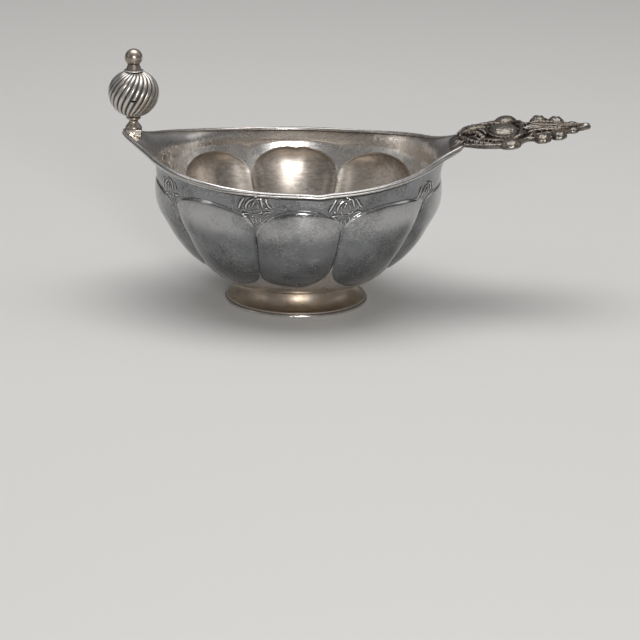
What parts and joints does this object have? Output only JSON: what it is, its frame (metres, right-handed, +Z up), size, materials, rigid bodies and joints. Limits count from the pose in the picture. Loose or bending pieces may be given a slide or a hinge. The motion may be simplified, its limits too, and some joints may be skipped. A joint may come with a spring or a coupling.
{
  "type": "two-handled bowl",
  "caption": "Oval lobed silver bowl on a round spreading foot, with a cast plate handle on one lip and a twisted ball knob standing on the other.",
  "frame": {"origin": "under the middle of the bowl's whole length, on the surface that the bowl stands on; the middle of the foot is 19.2 mm from it towards the knob", "axes": "+X runs along the bowl towards the cast plate handle, -X towards the knob, +Y across it away from the viewer, +Z up"},
  "size_m": [0.1834, 0.106, 0.0968],
  "materials": {
    "raised_silver": "old polished silver, hand raised, finely scratched, darker in the creases",
    "drawn_silver": "drawn silver wire, worn bright along its beads",
    "foot_silver": "old polished silver, warm toned, rubbed",
    "cast_silver": "cast and chased silver, bright on the high points, dark in the ground",
    "knob_silver": "turned silver, satin with darker joints",
    "ball_silver": "silver with twisted ribs, bright on the ribs, dark between them"
  },
  "bodies": {
    "root": {"bowl_body": "raised_silver", "rim_wire": "drawn_silver", "foot": "foot_silver", "foot_wire": "drawn_silver", "cast_handle": "cast_silver", "knob_seat": "knob_silver", "knob_stem": "knob_silver", "knob_lower_collar": "knob_silver", "ball_lower_half": "ball_silver", "ball_upper_half": "ball_silver", "knob_upper_collar": "knob_silver", "finial": "knob_silver"}
  },
  "joints": []
}
